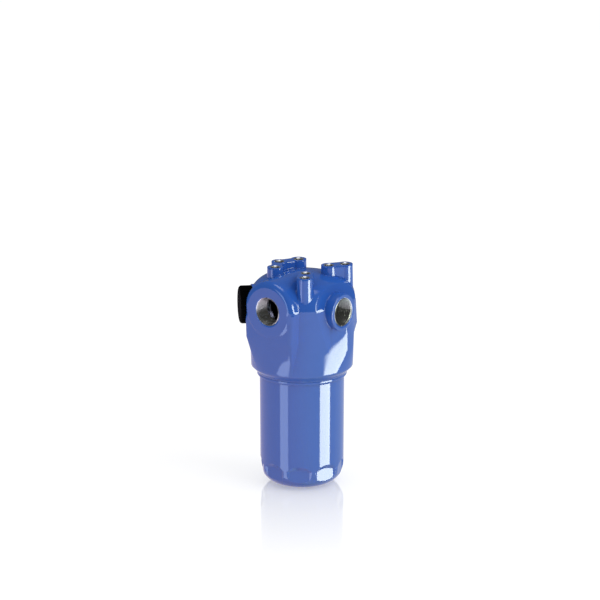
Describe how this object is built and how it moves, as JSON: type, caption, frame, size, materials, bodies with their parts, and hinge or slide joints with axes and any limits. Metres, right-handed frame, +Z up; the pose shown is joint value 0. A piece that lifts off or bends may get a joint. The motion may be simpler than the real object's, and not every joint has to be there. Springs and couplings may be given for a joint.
{
  "type": "hydraulic filter",
  "caption": "Low pressure hydraulic filter: cast head with two threaded ports and mounting bosses, screw-on bowl, pleated element with bypass valve, and a knurled indicator port plug.",
  "frame": {"origin": "centre of the flat foot of the bowl, on the bowl's axis", "axes": "+Z up the bowl's axis towards the mounting face, +X out of the outlet port, -Y out of the inlet port"},
  "size_m": [0.1025, 0.1063, 0.211],
  "materials": {
    "blue_paint": "smooth semi-gloss paint over an aluminium casting",
    "blue_bowl": "smooth semi-gloss paint over aluminium",
    "seal_rubber": "matt",
    "backup_plastic": "matt",
    "steel": "zinc plated",
    "potting": "matt resin",
    "media": "fibre sheet",
    "black_plastic": "satin moulded"
  },
  "bodies": {
    "head_body": {"filter_head": "blue_paint", "spigot": "steel", "spigot_o_ring": "seal_rubber", "element_top_cap": "steel", "element_o_ring": "seal_rubber", "top_potting": "potting", "pleated_media": "media", "core_tube": "steel", "bottom_potting": "potting", "element_bottom_cap": "steel", "bypass_cage": "steel", "bypass_spring": "steel"},
    "seal_body": {"bowl_o_ring": "seal_rubber", "bowl_backup_ring": "backup_plastic"},
    "bowl_body": {"bowl": "blue_bowl"},
    "plug_seal_body": {"plug_o_ring": "seal_rubber"},
    "plug_body": {"indicator_plug": "black_plastic"},
    "poppet_body": {"bypass_poppet": "steel"}
  },
  "joints": [
    {"name": "bowl_drop", "type": "slide", "parent": "head_body", "child": "seal_body", "axis": [0, 0, -1], "range_m": [0, 0.012]},
    {"name": "bowl_turn", "type": "hinge", "parent": "seal_body", "child": "bowl_body", "pos_m": [0, 0, 0], "axis": [0, 0, -1], "range_deg": [0, 1440]},
    {"name": "plug_draw", "type": "slide", "parent": "head_body", "child": "plug_seal_body", "axis": [-0.7071, -0.7071, 0], "range_m": [0, 0.00726]},
    {"name": "plug_turn", "type": "hinge", "parent": "plug_seal_body", "child": "plug_body", "pos_m": [-0.03366, -0.03366, 0.1755], "axis": [-0.7071, -0.7071, 0], "range_deg": [0, 1440]},
    {"name": "bypass_lift", "type": "slide", "parent": "head_body", "child": "poppet_body", "axis": [0, 0, 1], "range_m": [0, 0.005], "stiffness_N_per_m": 800, "springref_m": -0.004, "deforming": ["bypass_spring"]}
  ],
  "couplings": [
    {"joint": "bowl_drop", "follows": "bowl_turn", "m_per_rad": 0.00047746},
    {"joint": "plug_draw", "follows": "plug_turn", "m_per_rad": 0.00028871}
  ]
}
